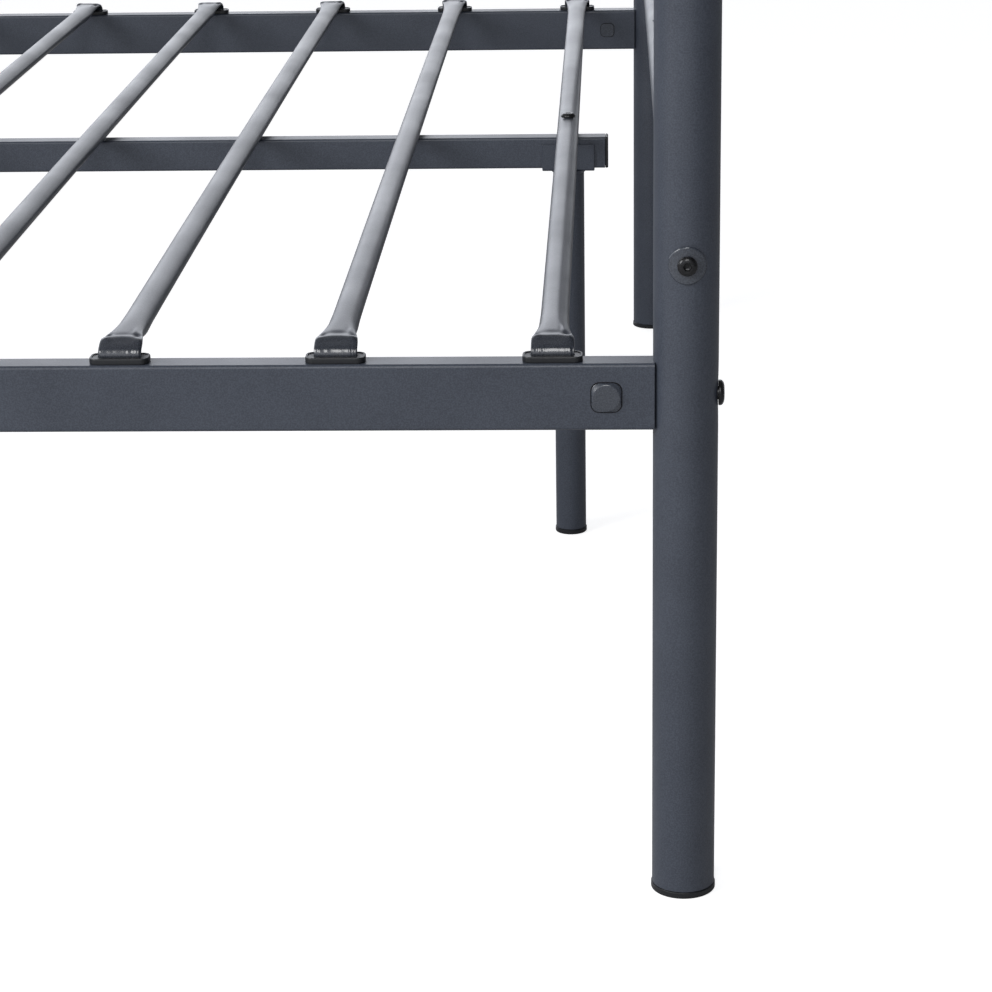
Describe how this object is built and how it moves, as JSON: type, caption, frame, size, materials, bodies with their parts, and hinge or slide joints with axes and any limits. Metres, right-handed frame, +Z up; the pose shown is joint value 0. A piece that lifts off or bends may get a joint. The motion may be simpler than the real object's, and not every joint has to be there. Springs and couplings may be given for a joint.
{
  "type": "metal bed frame",
  "caption": "Free-standing full-size metal bed frame: round posts, bolted side rails, sprung tube slats and a legged centre rail.",
  "frame": {"origin": "on the floor under the middle of the bed", "axes": "+X to the foot end, +Y to the right side seen from the foot end, +Z up"},
  "size_m": [1.9628, 1.397, 0.91],
  "materials": {
    "frame_paint": "satin slate powder coat with a fine texture",
    "slat_paint": "slate powder coat, a little glossier than the frame",
    "black_plastic": "black moulded polyethylene",
    "black_zinc": "black zinc plated steel, satin",
    "steel": "plain zinc plated steel, hidden inside the tubes"
  },
  "bodies": {
    "root": {"centre_leg_1": "frame_paint", "centre_leg_1_foot_cap": "black_plastic", "centre_leg_1_saddle": "frame_paint", "centre_leg_2": "frame_paint", "centre_leg_2_foot_cap": "black_plastic", "centre_leg_2_saddle": "frame_paint", "centre_leg_3": "frame_paint", "centre_leg_3_foot_cap": "black_plastic", "centre_leg_3_saddle": "frame_paint", "centre_rail": "frame_paint", "centre_rail_foot_cap": "black_plastic", "centre_rail_head_cap": "black_plastic", "cross_tube_bolts": "black_zinc", "cross_tube_inserts": "steel", "cross_tube_washers": "frame_paint", "foot_lower_cross_tube": "frame_paint", "foot_post_left": "frame_paint", "foot_post_left_foot_cap": "black_plastic", "foot_post_left_top_cap": "black_plastic", "foot_post_right": "frame_paint", "foot_post_right_foot_cap": "black_plastic", "foot_post_right_top_cap": "black_plastic", "foot_spindles": "frame_paint", "foot_top_rail": "frame_paint", "head_lower_cross_tube": "frame_paint", "head_post_left": "frame_paint", "head_post_left_foot_cap": "black_plastic", "head_post_left_top_cap": "black_plastic", "head_post_right": "frame_paint", "head_post_right_foot_cap": "black_plastic", "head_post_right_top_cap": "black_plastic", "head_spindles": "frame_paint", "head_top_rail": "frame_paint", "leg_inserts": "steel", "rail_bolts": "black_zinc", "rail_cross_nuts": "frame_paint", "side_rail_left": "frame_paint", "side_rail_right": "frame_paint", "slat_01": "slat_paint", "slat_02": "slat_paint", "slat_03": "slat_paint", "slat_04": "slat_paint", "slat_05": "slat_paint", "slat_06": "slat_paint", "slat_07": "slat_paint", "slat_08": "slat_paint", "slat_09": "slat_paint", "slat_10": "slat_paint", "slat_11": "slat_paint", "slat_12": "slat_paint", "slat_13": "slat_paint", "slat_14": "slat_paint", "slat_15": "slat_paint", "slat_bolts": "black_zinc", "slat_sleeves_left": "black_plastic", "slat_sleeves_right": "black_plastic", "slat_spacers": "black_plastic"}
  },
  "joints": []
}
